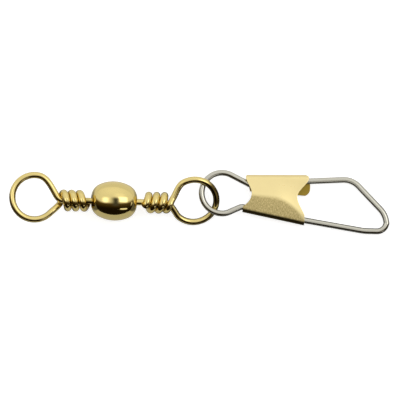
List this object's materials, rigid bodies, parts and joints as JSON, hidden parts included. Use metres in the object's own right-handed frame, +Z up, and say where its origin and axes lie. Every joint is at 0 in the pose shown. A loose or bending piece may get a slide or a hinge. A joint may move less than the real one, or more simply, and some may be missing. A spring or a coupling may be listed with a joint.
{
  "type": "snap swivel",
  "caption": "Brass barrel swivel with a wrapped wire eye at each end; one eye carries a bent steel wire snap whose latch leg hooks into a folded brass sleeve.",
  "frame": {"origin": "centre of the whole part's plan outline, on the floor that it lies on", "axes": "+X along the part from the line eye to the nose of the snap, +Y towards the latch leg's side, +Z up"},
  "size_m": [0.05, 0.008, 0.0052],
  "materials": {
    "barrel_brass": "polished",
    "wire_brass": "bright drawn",
    "sheet_brass": "satin rolled",
    "spring_steel": "bright drawn"
  },
  "bodies": {
    "barrel": {"barrel": "barrel_brass"},
    "line_eye": {"line_eye": "wire_brass"},
    "snap_eye": {"snap_eye": "wire_brass"},
    "snap": {"snap_wire": "spring_steel", "snap_sleeve": "sheet_brass"}
  },
  "joints": [
    {"name": "line_eye_spin", "type": "hinge", "parent": "barrel", "child": "line_eye", "pos_m": [-0.01129, -0.00054, 0.0026], "axis": [0.993, 0, -0.1181], "continuous": true},
    {"name": "snap_eye_spin", "type": "hinge", "parent": "barrel", "child": "snap_eye", "pos_m": [-0.01129, -0.00054, 0.0026], "axis": [0.993, 0, -0.1181], "continuous": true},
    {"name": "snap_swing", "type": "hinge", "parent": "snap_eye", "child": "snap", "pos_m": [-0.00079, -0.00018, 0.00149], "axis": [0.1109, -0.3437, 0.9325], "range_deg": [-100, 50]}
  ]
}
